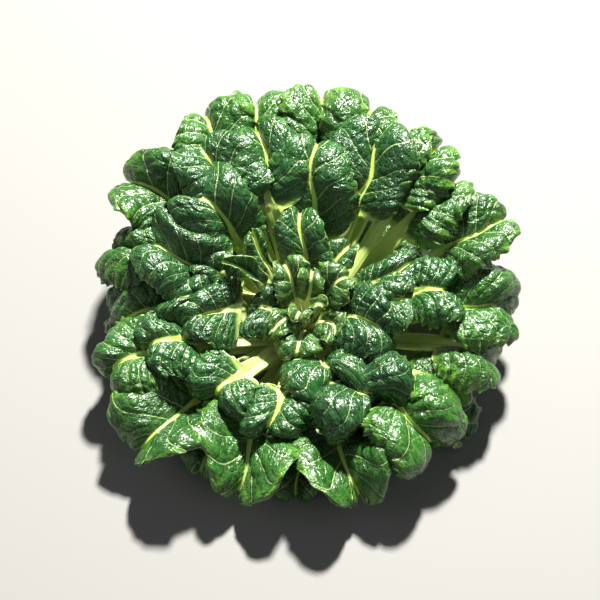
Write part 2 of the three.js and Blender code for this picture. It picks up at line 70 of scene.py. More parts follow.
# ring, form, direction about the axis, petiole, blade length, blade width, rise, lift, exceptions;
# from the outside of the head to its heart, which is also the order of stacking.
LEAVES = [
    ("low", "spoon", 95, 64, 48, 50, 10, 4),
    ("low", "spoon", 14, 60, 48, 50, 10, 4),
    ("low", "spoon", 326, 58, 46, 48, 8, 2),
    ("low", "spoon", 268, 46, 44, 48, 8, 2),
    ("low", "spoon", 234, 54, 44, 46, 8, 2),
    ("low", "spoon", 172, 62, 50, 50, 10, 6),
    ("low", "spoon", 126, 44, 56, 56, 12, 9),
    ("low", "spoon", 50, 46, 60, 60, 12, 9),
    ("outer", "spoon", 105, 95, 54, 60, 30, 42, dict(wave=3.5, lean=5, lobe=4)),
    ("outer", "spoon", 85, 91, 56, 66, 30, 46, dict(tip=-40)),
    ("outer", "spoon", 71, 95, 50, 56, 30, 42),
    ("outer", "spoon", 119, 97, 52, 58, 31, 42, dict(wave=3.5)),
    ("outer", "spoon", 142, 90, 50, 68, 24, 34, dict(wave=3.5, lobe=4, turn=4)),
    ("outer", "dome", 162, 84, 48, 56, 22, 34, dict(tip=-80, cup=30)),
    ("outer", "dome", 182, 74, 42, 50, 20, 30, dict(tip=-90)),
    ("outer", "dome", 200, 84, 46, 56, 18, 26),
    ("outer", "bowl", 219, 62, 58, 80, 12, 2, dict(lean=8)),
    ("outer", "bowl", 249, 52, 54, 72, 12, 0, dict(lobe=5)),
    ("outer", "bowl", 285, 52, 56, 73, 12, 0, dict(lobe=5)),
    ("outer", "dome", 311, 70, 46, 72, 18, 24, dict(lobe=8, cup=40)),
    ("outer", "spoon", 327, 60, 42, 44, 14, 20),
    ("outer", "dome", 344, 76, 44, 56, 18, 22, dict(tip=-90, cup=34, lean=-12, stalk=15, foot=16)),
    ("outer", "dome", 359, 82, 46, 66, 20, 30, dict(tip=-90, cup=42, lobe=6)),
    ("outer", "spoon", 22, 87, 48, 62, 24, 32, dict(edge=2.6)),
    ("outer", "spoon", 38, 80, 50, 62, 28, 40, dict(edge=2.6, stalk=13, foot=15)),
    ("outer", "spoon", 47, 94, 46, 56, 29, 40),
    ("outer", "spoon", 57, 88, 46, 54, 31, 42),
    ("middle", "spoon", 62, 72, 60, 72, 32, 46, dict(tip=-40, turn=5, edge=2.8, stalk=12, foot=14)),
    ("middle", "spoon", 86, 52, 66, 60, 38, 56, dict(tip=-50, cup=14, roll=80, edge=3.5, lobe=0, wave=1, curl=5)),
    ("middle", "spoon", 107, 74, 50, 54, 34, 50, dict(edge=2.8, tip=-50, stalk=12, foot=13)),
    ("middle", "spoon", 126, 78, 50, 62, 30, 42, dict(wave=3.5, tip=-40, stalk=13, foot=14)),
    ("middle", "spoon", 134, 62, 50, 60, 28, 46, dict(edge=2.6, lean=-10, tip=-80, curl=3)),
    ("middle", "spoon", 159, 64, 50, 66, 24, 36, dict(edge=2.6, tip=-80, curl=3)),
    ("middle", "dome", 178, 56, 36, 42, 24, 36, dict(tip=-90)),
    ("middle", "dome", 198, 66, 42, 52, 20, 26, dict(stalk=15, foot=15)),
    ("middle", "dome", 229, 52, 38, 50, 20, 24),
    ("middle", "dome", 256, 53, 38, 50, 21, 26, dict(tip=-120)),
    ("middle", "dome", 299, 50, 36, 80, 20, 26, dict(lobe=7, dome=4, cup=38)),
    ("middle", "dome", 4, 64, 42, 54, 24, 32, dict(tip=-90, cup=35)),
    ("inner", "spoon", 131, 38, 26, 20, 42, 54, dict(tip=10)),
    ("inner", "spoon", 156, 48, 32, 40, 26, 28),
    ("inner", "dome", 186, 40, 42, 58, 28, 36, dict(tip=-90, lean=-16, lobe=5)),
    ("inner", "dome", 289, 30, 32, 74, 26, 28, dict(lobe=7, dome=4, cup=38)),
    ("inner", "dome", 1, 44, 38, 48, 32, 40, dict(tip=-80)),
    ("inner", "dome", 18, 36, 42, 34, 36, 40, dict(tip=-60, cup=30)),
    ("inner", "spoon", 54, 36, 22, 24, 48, 54, dict(wave=3)),
    ("inner", "spoon", 92, 28, 44, 38, 46, 62, dict(tip=-40, curl=5, bowl=0.5, cup=36)),
    ("inner", "spoon", 158, 36, 32, 20, 46, 52, dict(tip=10, cup=60, roll=-40, lobe=0, dome=0)),
    ("inner", "dome", 342, 24, 42, 56, 40, 54, dict(tip=-80)),
    ("inner", "dome", 190, 20, 32, 40, 46, 54, dict(tip=-80)),
    ("heart", "dome", 262, 13, 28, 34, 50, 52, dict(tip=-70, wave=3)),
    ("heart", "dome", 320, 13, 27, 30, 54, 58, dict(tip=-50, wave=3)),
    ("heart", "dome", 222, 13, 23, 25, 58, 66, dict(tip=-50, wave=3)),
    ("heart", "spoon", 25, 18, 30, 32, 54, 66, dict(wave=3)),
    ("heart", "spoon", 125, 18, 28, 30, 58, 70, dict(wave=3)),
    ("heart", "spoon", 75, 16, 24, 20, 68, 78, dict(wave=3)),
    ("heart", "spoon", 245, 14, 20, 17, 72, 80, dict(wave=3)),
    ("heart", "spoon", 345, 13, 18, 15, 78, 84, dict(wave=3)),
]
FOOT_RADIUS = (21, 3)      # distance of the feet from the axis, first and last leaf
FOOT_HEIGHT = (7, 33)      # height of the feet, first and last leaf
BLADE_HALF = 0.6
CLEARANCE = 0.7
FLOOR_CLEAR = 1.0
REACH = 16
SETTLE_PASSES = 10
STIFFNESS = 0.3
MOST_MOVED = 16
BEND_WAVE = 70
MM = 0.001


def ease(x):
    """Smooth step: nought below 0, one above 1."""
    x = np.clip(x, 0.0, 1.0)
    return x * x * (3 - 2 * x)


def blend(a, b, f):
    return a + (b - a) * f


def describe_leaves():
    """Each leaf as a dictionary, with its place in the spiral of feet."""
    counts, leaves = {}, []
    for index, (ring, form, az, petiole, blade, width, rise, lift, *extra) in enumerate(LEAVES):
        q = index / (len(LEAVES) - 1)
        counts[ring] = counts.get(ring, 0) + 1
        leaf = dict(lean=0, turn=0, uneven=2.5, waves=2)
        leaf.update(FORMS[form])
        leaf.update(RINGS[ring])
        leaf.update(ring=ring, form=form, az=az, petiole=petiole, blade=blade, width=width, rise=rise, lift=lift)
        leaf.update(*extra)
        leaf.update(name="%s_leaf_%d" % (ring, counts[ring]), index=index, phase=(0.37 * index) % 1,
                    foot_radius=blend(*FOOT_RADIUS, q), foot_height=blend(*FOOT_HEIGHT, q))
        if ring == "heart":
            leaf["lobe"] *= 0.4
            leaf["dome"] *= 0.5
            leaf["uneven"] *= 0.5
        leaves.append(leaf)
    return leaves


# ---- the middle surface of a leaf ----------------------------------------------------------------
def spine_of(leaf, steps=110):
    """The midrib: its slope eases from rise to lift along the petiole and turns over to tip along
    the blade; its points are the running sum of the directions. It runs on a little past the end."""
    length = leaf["petiole"] + leaf["blade"]
    s = np.linspace(0, length * 1.15, steps + 1)
    tb = np.maximum((s - leaf["petiole"]) / leaf["blade"], 0)
    level = leaf["lift"] + leaf["up"] * ease(tb / 0.6)
    turned = (leaf["tip"] - leaf["lift"] - leaf["up"]) * tb ** leaf["curl"]
    pitch = np.radians(leaf["rise"] + (level - leaf["rise"]) * ease(s / leaf["petiole"]) + turned)
    heading = np.radians(leaf["az"] + leaf["turn"] * (s / length) ** 1.5)
    along = directions(pitch, heading)
    az = math.radians(leaf["az"])
    start = np.array([leaf["foot_radius"] * math.cos(az), leaf["foot_radius"] * math.sin(az), leaf["foot_height"]])
    steps_taken = (along[1:] + along[:-1]) / 2 * np.diff(s)[:, None]
    return s, np.vstack([start, start + np.cumsum(steps_taken, 0)]), pitch, heading


def directions(pitch, heading):
    return np.stack([np.cos(pitch) * np.cos(heading), np.cos(pitch) * np.sin(heading), np.sin(pitch)], -1)


def half_width(leaf, s):
    """A petiole that narrows from its foot, joined to an oval blade with a blunt round tip."""
    tb = np.clip((s - leaf["petiole"]) / leaf["blade"], 0, 1)
    stalk = blend(leaf["foot"], leaf["stalk"], ease(s / leaf["petiole"] / 0.7)) / 2
    place = tb ** 0.9
    power = np.where(place > 0.5, 2.5, 2.0)
    oval = leaf["width"] / 2 * np.maximum(1 - np.abs(2 * place - 1) ** power, 0) ** (1 / power)
    fade = 1 - ease((tb - 0.55) / 0.45)
    return ((stalk * fade) ** 3 + oval ** 3) ** (1 / 3)


def row_share(u):
    """Share of the leaf's length reached by row u: rows crowd a little towards the tip."""
    q = u + 0.1 * np.sin(np.pi * u) * u
    return np.minimum(1 - (1 - np.minimum(q, 1)) ** 1.12, 0.9985)


def blade_share(leaf, s):
    """Nought on the petiole, one on the blade, eased between them."""
    return ease((s - leaf["petiole"] * 0.8) / (leaf["blade"] * 0.35 + leaf["petiole"] * 0.2))


def surface(leaf, s, v):
    """Points over distance s along the midrib and place v across, from -1 to 1.
    The slope across starts at +cup beside the midrib and turns to -roll at the widest rim; its
    average gives how far out and up each point lies. Waves, bulges and lobes are added on top."""
    tb = np.clip((s - leaf["petiole"]) / leaf["blade"], 0, 1)
    blade = blade_share(leaf, s)
    half = half_width(leaf, s)
    share, side = np.abs(v), np.sign(v)
    cup = np.radians(blend(22, leaf["cup"], blade))[:, None, None]
    roll = np.radians(blend(-24, leaf["roll"], blade))[:, None, None]
    reach = 1 + (np.clip(half / (leaf["width"] / 2), 0, 1) ** 0.8 - 1) * blade
    a = (np.arange(24) + 0.5)[None, None, :] / 24 * share[None, :, None] * reach[:, None, None]
    flat = 1 - leaf["bowl"] * (1 - ease(a / 0.55)) * blade[:, None, None]
    slope = cup * flat - (cup + roll) * a ** leaf["edge"]
    out, up = np.cos(slope).mean(2), np.sin(slope).mean(2)
    T, H, B = tb[:, None], half[:, None], blade[:, None]
    ripple = np.sin(2 * np.pi * (leaf["waves"] * T + 0.3 * side + leaf["phase"])) * share ** 2.5
    bulge = np.sin(np.pi * share ** 0.8) * ease(T * 1.6) * (1 + 0.35 * side * np.sin(9 * leaf["phase"]))
    lift = up * share * H + B * (leaf["wave"] * ripple + leaf["dome"] * bulge)
    ahead = leaf["lobe"] * np.sin(np.pi * share ** 0.9) * ease((T - 0.3) / 0.7) - 0.1 * H * share ** 3 * B
    spine_s, spine_p, spine_pitch, spine_heading = spine_of(leaf)
    at = s[:, None] + ahead
    centre = np.stack([np.interp(at, spine_s, spine_p[:, k]) for k in range(3)], -1)
    pitch, heading = np.interp(at, spine_s, spine_pitch), np.interp(at, spine_s, spine_heading)
    along = directions(pitch, heading)
    across = np.stack([-np.sin(heading), np.cos(heading), 0 * heading], -1)
    above = np.cross(along, across)
    lean = (math.radians(leaf["lean"]) * ease(s / (leaf["petiole"] + 0.3 * leaf["blade"])))[:, None, None]
    sideways = across * np.cos(lean) + above * np.sin(lean)
    upwards = above * np.cos(lean) - across * np.sin(lean)
    points = centre + (out * share * H * side)[..., None] * sideways + lift[..., None] * upwards
    return points + uneven_bend(leaf, points, B * ease(T * 1.3 + 0.2))


def uneven_bend(leaf, p, amount):
    """Slow waves in space that keep any two blades from being alike."""
    k, shift = 2 * np.pi / BEND_WAVE, leaf["phase"] * 6.28
    x, y, z = p[..., 0], p[..., 1], p[..., 2]
    bend = np.stack([np.sin(k * (y + z) + shift), np.sin(k * (z - x) + 2 * shift), np.sin(k * (x + y) + 3 * shift)], -1)
    return leaf["uneven"] * amount[..., None] * bend


def settling_half(leaf, s, v, rows):
    """Half the thickness the neighbours keep clear of: thick petiole, thin blade, sharp rim."""
    tb = np.clip((s - leaf["petiole"]) / leaf["blade"], 0, 1)[:, None]
    across = np.maximum(1 - v ** 2, 0)[None, :]
    stalk = leaf["half"] * (1 - ease(tb * 1.4))
    rib = blend(across, across ** 3, ease(tb * 2))
    half = BLADE_HALF + np.maximum(stalk - BLADE_HALF * 0.5, 0) * rib
    half[:, [0, -1]] = 0
    half[-1] = 0
    return half


# ---- settling the leaves on one another ----------------------------------------------------------
def grid_faces(rows, cols):
    """Two triangles for each cell of the grid, as rows of three vertex numbers."""
    i, j = np.meshgrid(np.arange(rows), np.arange(cols), indexing="ij")
    a = (i * (cols + 1) + j).ravel()
    w = cols + 1
    return np.concatenate([np.stack([a, a + w, a + w + 1], 1), np.stack([a, a + w + 1, a + 1], 1)])


def nearest_on_triangles(points, tri):
    """Nearest point of every triangle to every point: the foot of the perpendicular when it falls
    inside the triangle, else the nearest place on one of the three sides."""
    a, b, c = tri[:, 0], tri[:, 1], tri[:, 2]
    n = np.cross(b - a, c - a)
    n = n / np.maximum(np.linalg.norm(n, axis=1, keepdims=True), 1e-12)
    p = points[:, None, :]
    height = ((p - a) * n).sum(-1)
    best = p - height[..., None] * n
    inside = np.ones(height.shape, bool)
    for u, w in ((a, b), (b, c), (c, a)):
        inside &= (np.cross(w - u, best - u) * n).sum(-1) >= 0
    gap = np.where(inside, np.abs(height), np.inf)
    for u, w in ((a, b), (b, c), (c, a)):
        d = w - u
        t = np.clip(((p - u) * d).sum(-1) / np.maximum((d * d).sum(-1), 1e-12), 0, 1)
        q = u + t[..., None] * d
        r = np.linalg.norm(p - q, axis=-1)
        closer = r < gap
        best = np.where((closer & ~inside)[..., None], q, best)
        gap = np.where(closer & ~inside, r, gap)
    return best, gap, n


def push_for(points, halves, frozen):
    """How far each point has to move along a neighbour's normal to lie above it."""
    push, size = np.zeros_like(points), np.zeros(len(points))
    for other in frozen:
        hit = np.nonzero(np.all((points > other["low"] - 3) & (points < other["high"] + 3), axis=1))[0]
        if not len(hit):
            continue
        near, gap, normal = nearest_on_triangles(points[hit], other["tri"])
        k = gap.argmin(1)
        row = np.arange(len(hit))
        gap, normal = gap[row, k], normal[k]
        height = ((points[hit] - near[row, k]) * normal).sum(1)
        wanted = halves[hit] + other["half"][k] + CLEARANCE - height
        ok = (gap < REACH) & (np.abs(height) > 0.8 * gap - 0.3) & (wanted > 0) & (wanted > size[hit])
        push[hit[ok]] = normal[ok] * wanted[ok, None]
        size[hit[ok]] = wanted[ok]
    return push


def neighbour_mean(field):
    """Average of each vertex and its four neighbours on the grid."""
    e = np.pad(field, ((1, 1), (1, 1), (0, 0)), mode="edge")
    return (field + e[:-2, 1:-1] + e[2:, 1:-1] + e[1:-1, :-2] + e[1:-1, 2:]) / 5


def size_of(field):
    return np.linalg.norm(field, axis=-1, keepdims=True)


def settle(leaves):
    """Lays the leaves on one another, outermost first, and keeps each one's movement."""
    placed = []
    for leaf in leaves:
        u, v = np.linspace(0, 1, leaf["rows"] + 1), np.linspace(-1, 1, leaf["cols"] + 1)
        s = row_share(u) * (leaf["petiole"] + leaf["blade"])
        rest = surface(leaf, s, v)
        halves = settling_half(leaf, s, v, leaf["rows"])
        low, high = rest.min((0, 1)) - 20, rest.max((0, 1)) + 20
        near = [o for o in placed if np.all(o["low"] - 3 < high) and np.all(o["high"] + 3 > low)]
        moved = np.zeros_like(rest)
        for _ in range(SETTLE_PASSES):
            points = rest + moved
            push = push_for(points.reshape(-1, 3), halves.ravel(), near).reshape(rest.shape)
            push[0] = 0
            push[..., 2] += np.maximum(FLOOR_CLEAR - points[..., 2] - push[..., 2], 0)
            spread = push
            for _ in range(4):
                mean = neighbour_mean(spread)
                spread = np.where(size_of(mean) < size_of(push) * 0.9, push * 0.9, mean)
            moved = blend(moved, neighbour_mean(moved), STIFFNESS) + spread
            moved *= np.minimum(1, MOST_MOVED / np.maximum(size_of(moved), 1e-9))
            moved[0] = 0
        leaf["moved"] = moved
        points = (rest + moved).reshape(-1, 3)
        faces = grid_faces(leaf["rows"], leaf["cols"])
        placed.append(dict(low=points.min(0), high=points.max(0), tri=points[faces],
                           half=halves.ravel()[faces].max(1)))


def cubic(field, at):
    """Values of the rows of a field at places between them, by smooth cubic blending."""
    i = np.clip(np.floor(at).astype(int), 0, len(field) - 2)
    f = (at - i).reshape((-1,) + (1,) * (field.ndim - 1))
    rows = [field[np.clip(i + k, 0, len(field) - 1)] for k in (-1, 0, 1, 2)]
    a, b, c, d = rows
    return b + 0.5 * f * (c - a + f * (2 * a - 5 * b + 4 * c - d + f * (3 * (b - c) + d - a)))


# ---- the shown leaf ------------------------------------------------------------------------------
def fine_rows(leaf, rows):
    """Row places for the shown surface: a fifth on the petiole, the others on the blade."""
    stalk = int(rows * 0.22)
    on_blade = np.linspace(0, 1, rows - stalk + 1)
    on_blade = 1 - (1 - on_blade) ** 1.15
    length = leaf["petiole"] + leaf["blade"]
    s = np.concatenate([np.linspace(0, leaf["petiole"], stalk, endpoint=False), leaf["petiole"] + leaf["blade"] * on_blade])
    return np.minimum(s, 0.9985 * length)


def moved_surface(leaf, s, v):
    """The leaf's formula with its settling, read off the coarse grid by cubic blending."""
    grid_s = row_share(np.linspace(0, 1, 2001)) * (leaf["petiole"] + leaf["blade"])
    u = np.interp(s, grid_s, np.linspace(0, 1, 2001)) * leaf["rows"]
    along = cubic(leaf["moved"], u)
    across = cubic(np.swapaxes(along, 0, 1), (v + 1) / 2 * leaf["cols"])
    return surface(leaf, s, v) + np.swapaxes(across, 0, 1)


def normals(p):
    """Unit normals from the differences along both directions of the grid."""
    n = np.cross(np.gradient(p, axis=0), np.gradient(p, axis=1))
    return n / np.maximum(size_of(n), 1e-9)


def vein_phase(leaf, T, V, side, shifts):
    """Counts the side veins: it grows by one from vein to vein, and its level lines leave the
    midrib steeply and swing forward towards the rim."""
    count = leaf["veins"] + 0.6 * side
    swing = (0.62 * V - 0.16 * V ** 2) * (1 - 0.5 * T)
    wander = 0.18 * np.sin(5 * T + 3 * V * side + shifts[0]) + 0.11 * np.sin(11 * T - 6 * V * side + shifts[1])
    return count * (T ** 0.85 - swing) + wander * V + 0.3 * side


def relief(leaf, T, V, side, half, blade, rng):
    """Height of the pillows between the veins, of the puckers within them and of the crimped rim."""
    shifts = rng.uniform(0, 6.28, 8)
    phase = vein_phase(leaf, T, V, side, shifts)
    pillow = np.abs(np.sin(np.pi * phase)) ** 0.6
    x, y = V * half * side, T * leaf["blade"]
    bend = 1.3 * np.sin(0.19 * x + 0.10 * y + shifts[4]) + 1.3 * np.sin(0.17 * y - 0.12 * x + shifts[5])
    first = np.abs(np.sin(0.34 * x + 0.21 * y + bend + shifts[6]))
    second = np.abs(np.sin(0.33 * y - 0.19 * x - bend + shifts[7]))
    pucker = (first * second) ** 0.45
    beside = blade * ease(V * half / 6.5) * ease(T * 4)
    height = beside * leaf["relief"] * (0.62 * pillow + 0.62 * pucker - 0.2)
    crimp = np.sin(2 * np.pi * phase * 1.5 + shifts[3]) * 0.9 + np.sin(2 * np.pi * phase * 2.7 + shifts[2]) * 0.5
    height = height + blade * crimp * V ** 7 * leaf["relief"] * 0.55
    sunk = -0.9 * (1 - ease(V * half / 4.5)) * blade * ease(T * 3)
    return height + sunk, phase


def leaf_skins(leaf):
    """Upper and lower skin of a leaf as grids of points, with the fields its material reads."""
    rows, cols = leaf["fine"]
    s = fine_rows(leaf, rows)
    v = np.linspace(-1, 1, cols + 1)
    v = np.sign(v) * np.abs(v) ** 0.92
    p = moved_surface(leaf, s, v)
    tb = np.clip((s - leaf["petiole"]) / leaf["blade"], 0, 1)[:, None] + 0 * v
    half = half_width(leaf, s)[:, None] + 0 * v
    blade = blade_share(leaf, s)[:, None] + 0 * v
    V, side = np.abs(v)[None, :] + 0 * tb, np.sign(v)[None, :] + 0 * tb
    rng = np.random.default_rng(100 + leaf["index"])
    height, phase = relief(leaf, tb, V, side, half, blade, rng)
    n = normals(p)
    rib_half = blend(half, 0.9 + 0.32 * leaf["stalk"] * (1 - tb) ** 2, ease(tb * 4 + blade))
    rib = np.sqrt(np.maximum(1 - (V * half / np.maximum(rib_half, 0.5)) ** 2, 0))
    depth = leaf["half"] * 1.9 * (1 - ease(tb * 1.15)) + 0.35
    thick = 0.5 + depth * rib
    upper = p + n * (height + np.minimum(thick * 0.5, 1.2 + 0 * thick))[..., None]
    lower = p + n * (height * 0.9 - thick * 0.5)[..., None]
    grain = rng.uniform(0, 40, 2)
    fields = dict(phase=phase, blade=blade, tb=tb, xmm=v[None, :] * half, ymm=s[:, None] + 0 * tb,
                  rim=(1 - V) * half, ahead=(1 - tb) * leaf["blade"], stalk=0 * tb + leaf["stalk"] * 0.36,
                  tone=0 * tb + leaf["tone"], age=0 * tb + leaf["age"], grain=0 * tb + grain[0])
    return upper, lower, fields


def closed_faces(rows, cols):
    """Faces of two grids of the same size joined along their edge: upper, lower and rim."""
    w, n = cols + 1, (rows + 1) * (cols + 1)
    i, j = np.meshgrid(np.arange(rows), np.arange(cols), indexing="ij")
    a = (i * w + j).ravel()
    i, j = np.arange(rows), np.arange(cols)
    left, right, last = i * w, i * w + cols, rows * w + j
    return np.concatenate([
        np.stack([a, a + w, a + w + 1, a + 1], 1),
        np.stack([a, a + 1, a + w + 1, a + w], 1) + n,
        np.stack([left + n, left + w + n, left + w, left], 1),
        np.stack([right, right + w, right + w + n, right + n], 1),
        np.stack([j, j + 1, j + 1 + n, j + n], 1),
        np.stack([last + n, last + 1 + n, last + 1, last], 1),
    ])


def new_mesh(name, points, faces, smooth=True):
    """A mesh object from arrays, with points in metres and its place in its vertices."""
    mesh = bpy.data.meshes.new(name)
    mesh.vertices.add(len(points))
    mesh.vertices.foreach_set("co", np.ascontiguousarray(points, np.float32).ravel())
    size = faces.shape[1]
    mesh.loops.add(faces.size)
    mesh.loops.foreach_set("vertex_index", np.ascontiguousarray(faces, np.int32).ravel())
    mesh.polygons.add(len(faces))
    mesh.polygons.foreach_set("loop_start", np.arange(0, faces.size, size, dtype=np.int32))
    mesh.update(calc_edges=True)
    if smooth:
        mesh.shade_smooth()
    obj = bpy.data.objects.new(name, mesh)
    bpy.context.scene.collection.objects.link(obj)
    return obj


def add_fields(obj, fields):
    for name, values in fields.items():
        attribute = obj.data.attributes.new(name, "FLOAT", "POINT")
        attribute.data.foreach_set("value", np.ascontiguousarray(values, np.float32).ravel())


def claim(obj, node, material):
    """Ties a shown piece to the node it stands for."""
    obj.data.materials.append(material)
    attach(obj, "root")
    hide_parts(node)


def build_leaf(leaf, material):
    """One leaf as a closed mesh, moved towards its node's box so that the centres of the boxes meet, by at most 3 mm
    along each axis.
    """
    upper, lower, fields = leaf_skins(leaf)
    rows, cols = leaf["fine"]
    points = np.concatenate([upper.reshape(-1, 3), lower.reshape(-1, 3)]) * MM
    low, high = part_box(leaf["name"])
    off = (np.array(low) + np.array(high)) / 2 - (points.min(0) + points.max(0)) / 2
    leaf["off"] = off
    points = points + np.clip(off, -0.003, 0.003)
    obj = new_mesh(leaf["name"] + "_shown", points, closed_faces(rows, cols))
    add_fields(obj, {k: np.concatenate([f.ravel(), f.ravel()]) for k, f in fields.items()})
    under = np.repeat([0.0, 1.0], (rows + 1) * (cols + 1))
    add_fields(obj, {"under": under})
    claim(obj, leaf["name"], material)
    return obj


def dress(leaves):
    """Gives each leaf its vein count, relief, tone and age by ring and by a fixed seed."""
    rng = np.random.default_rng(7)
    for leaf in leaves:
        scale = min(1.0, leaf["width"] / 54)
        puckered = {"low": 0.9, "outer": 1.0, "middle": 1.0, "inner": 0.9, "heart": 0.95}[leaf["ring"]]
        if leaf["form"] == "spoon" and leaf["ring"] in ("middle", "inner"):
            puckered = 0.55
        leaf["veins"] = {"spoon": 5.6, "dome": 6.4, "bowl": 5.8}[leaf["form"]] - (1.2 if leaf["ring"] == "heart" else 0)
        leaf["relief"] = 2.3 * scale * puckered
        leaf["tone"] = rng.uniform(0, 1)
        leaf["age"] = {"low": 0.55, "outer": 0.8, "middle": 0.35, "inner": 0.15, "heart": 0.3}[leaf["ring"]] + rng.uniform(-0.15, 0.15)


# ---- crown ---------------------------------------------------------------------------------------
def build_crown(material):
    """The stump: a turned profile with shallow ribs, under the feet, closed by a flat cut face."""
    low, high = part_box("crown_stump")
    radius, top = (high[0] - low[0]) / 2, high[2]
    t = np.linspace(0, 1, 42)[1:-1]
    height = np.array([0, 0, 0, 0, 0.4, 1.4, 3.0, 7.0, 13, 20, 27, 32, 33]) / 33
    wide = np.array([0, 5, 10, 14.6, 15.6, 16.9, 18.0, 18.2, 13.7, 9.4, 5.1, 1.6, 0]) / 18.4
    place = np.linspace(0, 1, len(height))
    turn = np.linspace(0, 2 * np.pi, 96, endpoint=False)
    z = np.interp(t, place, height)[:, None] + 0 * turn
    r = np.interp(t, place, wide)[:, None] * (1 + 0.012 * np.sin(9 * turn) + 0.008 * np.sin(17 * turn + 1))
    points = np.stack([r * radius * np.cos(turn), r * radius * np.sin(turn), z * top], -1).reshape(-1, 3)
    rows, cols = len(t) - 1, len(turn)
    foot, tip = len(points), len(points) + 1
    points = np.concatenate([points, [[0, 0, 0], [0, 0, top]]])
    i, j = np.meshgrid(np.arange(rows), np.arange(cols), indexing="ij")
    a, b = (i * cols + j).ravel(), (i * cols + (j + 1) % cols).ravel()
    j = np.arange(cols)
    k = (j + 1) % cols
    faces = np.concatenate([
        np.stack([a, b, b + cols], 1),
        np.stack([a, b + cols, a + cols], 1),
        np.stack([0 * j + foot, k, j], 1),
        np.stack([0 * j + tip, j + rows * cols, k + rows * cols], 1),
    ])
    obj = new_mesh("crown_shown", points, faces)
    claim(obj, "crown_stump", material)
    return obj


# ---- materials -----------------------------------------------------------------------------------
class Nodes:
    """Small helper for building a node tree out of sockets and numbers."""

    def __init__(self, name):
        self.material = bpy.data.materials.new(name)
        self.material.use_nodes = True
        self.tree = self.material.node_tree
        self.shader = self.tree.nodes["Principled BSDF"]

    def new(self, kind, **values):
        node = self.tree.nodes.new(kind)
        for key, value in values.items():
            setattr(node, key, value)
        return node

    def put(self, value, socket):
        if isinstance(value, bpy.types.NodeSocket):
            self.tree.links.new(value, socket)
        elif isinstance(value, tuple) and len(value) == 3 and socket.type == "RGBA":
            socket.default_value = (*value, 1)
        else:
            socket.default_value = value

    def field(self, name):
        return self.new("ShaderNodeAttribute", attribute_name=name).outputs["Fac"]

    def math(self, operation, *values, clamp=False):
        node = self.new("ShaderNodeMath", operation=operation, use_clamp=clamp)
        for value, socket in zip(values, node.inputs):
            self.put(value, socket)
        return node.outputs[0]

    def mix(self, share, a, b):
        node = self.new("ShaderNodeMix", data_type="RGBA")
        self.put(share, node.inputs[0])
        self.put(a, node.inputs[6])
        self.put(b, node.inputs[7])
        return node.outputs[2]

    def step(self, value, low, high, to_low=0.0, to_high=1.0):
        """Eased ramp of a value between two limits."""
        node = self.new("ShaderNodeMapRange", interpolation_type="SMOOTHSTEP")
        for k, x in enumerate((value, low, high, to_low, to_high)):
            self.put(x, node.inputs[k])
        return node.outputs[0]

    def vector(self, x, y, z):
        node = self.new("ShaderNodeCombineXYZ")
        for k, value in enumerate((x, y, z)):
            self.put(value, node.inputs[k])
        return node.outputs[0]

    def noise(self, vector, scale, detail=2.0):
        node = self.new("ShaderNodeTexNoise")
        self.put(vector, node.inputs["Vector"])
        node.inputs["Scale"].default_value = scale
        node.inputs["Detail"].default_value = detail
        return node.outputs["Fac"]

    def cells(self, vector, scale):
        node = self.new("ShaderNodeTexVoronoi", feature="DISTANCE_TO_EDGE")
        self.put(vector, node.inputs["Vector"])
        node.inputs["Scale"].default_value = scale
        return node.outputs["Distance"]


